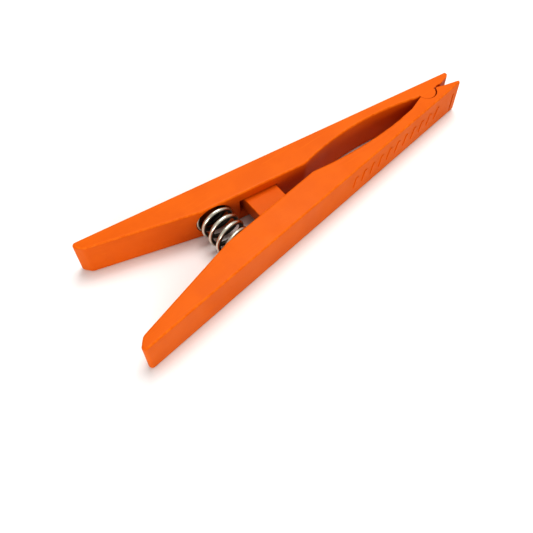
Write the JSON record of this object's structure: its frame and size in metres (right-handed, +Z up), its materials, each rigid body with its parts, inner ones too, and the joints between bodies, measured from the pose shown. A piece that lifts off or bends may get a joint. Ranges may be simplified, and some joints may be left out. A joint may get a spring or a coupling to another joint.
{
  "type": "spring clamp",
  "caption": "Plastic spring clamp: two long tapered arms hinged by a tongue on a hidden pin, a coil spring between the handles, and a round lobe closing in a round seat at the jaws.",
  "frame": {"origin": "middle of the footprint, on the surface that the clamp lies on", "axes": "+X from the handle ends to the jaw tips, +Y from the seat arm to the lobe arm, +Z up through the thickness"},
  "size_m": [0.15, 0.0462, 0.0144],
  "materials": {
    "arm_plastic": "satin injection-moulded orange plastic",
    "spring_steel": "bright drawn spring wire",
    "pin_steel": "plain ground pin"
  },
  "bodies": {
    "seat_side": {"seat_arm": "arm_plastic", "coil_spring": "spring_steel"},
    "lobe_side": {"lobe_arm": "arm_plastic", "hinge_pin": "pin_steel"}
  },
  "joints": [
    {"name": "jaw_hinge", "type": "hinge", "parent": "seat_side", "child": "lobe_side", "pos_m": [-0.0116, 0.0095, 0.0072], "axis": [0, 0, 1], "range_deg": [0, 18], "stiffness_Nm_per_rad": 2.5, "springref_deg": -13.75, "deforming": ["coil_spring"]}
  ]
}
